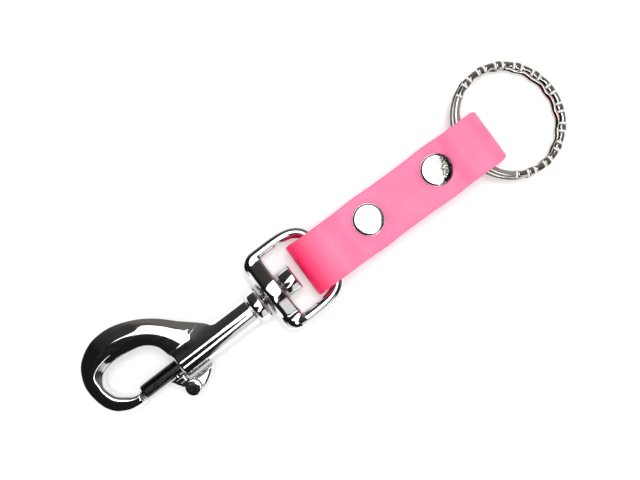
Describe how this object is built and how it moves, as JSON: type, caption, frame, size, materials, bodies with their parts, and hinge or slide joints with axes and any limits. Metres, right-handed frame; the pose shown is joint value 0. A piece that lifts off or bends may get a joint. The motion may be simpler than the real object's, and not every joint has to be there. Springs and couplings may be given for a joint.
{
  "type": "strap key fob",
  "caption": "Riveted strap key fob with a swivelling spring bolt snap at one end and a dimpled split ring at the other.",
  "frame": {"origin": "on the strap's front face, midway between the two rivets, on the strap's centreline", "axes": "+X along the strap towards the split ring, +Y across the strap, +Z out of its front face"},
  "size_m": [0.1561, 0.0372, 0.0114],
  "materials": {
    "strap_pink": "smooth dyed, slight sheen",
    "chrome": "polished plating",
    "bolt_chrome": "dark polished steel",
    "ring_nickel": "polished nickel",
    "rivet_nickel": "polished nickel",
    "plain_steel": "plain",
    "spring_steel": "drawn wire"
  },
  "bodies": {
    "strap": {"strap": "strap_pink", "rivet_1_front_cap": "rivet_nickel", "rivet_1_post": "plain_steel", "rivet_1_back_cap": "rivet_nickel", "rivet_1_socket": "plain_steel", "rivet_2_front_cap": "rivet_nickel", "rivet_2_post": "plain_steel", "rivet_2_back_cap": "rivet_nickel", "rivet_2_socket": "plain_steel"},
    "eye": {"swivel_eye": "chrome"},
    "hook": {"hook_body": "chrome", "swivel_rivet": "chrome", "bolt_spring": "spring_steel"},
    "bolt": {"bolt": "bolt_chrome", "thumb_knob": "chrome"},
    "ring": {"split_ring": "ring_nickel"}
  },
  "joints": [
    {"name": "eye_swing", "type": "hinge", "parent": "strap", "child": "eye", "pos_m": [-0.0283, 0.0004, -0.0038], "axis": [0, 1, 0], "range_deg": [-120, 120]},
    {"name": "hook_swivel", "type": "hinge", "parent": "eye", "child": "hook", "pos_m": [-0.0283, 0.0004, -0.0038], "axis": [0.9997, 0.0227, 0], "continuous": true},
    {"name": "bolt_slide", "type": "slide", "parent": "hook", "child": "bolt", "axis": [0.9997, 0.0227, 0], "range_m": [0, 0.01], "stiffness_N_per_m": 400, "springref_m": -0.01, "deforming": ["bolt_spring"]},
    {"name": "ring_swing", "type": "hinge", "parent": "strap", "child": "ring", "pos_m": [0.0231, 0, -0.0038], "axis": [0, -1, 0], "range_deg": [-120, 120]}
  ]
}
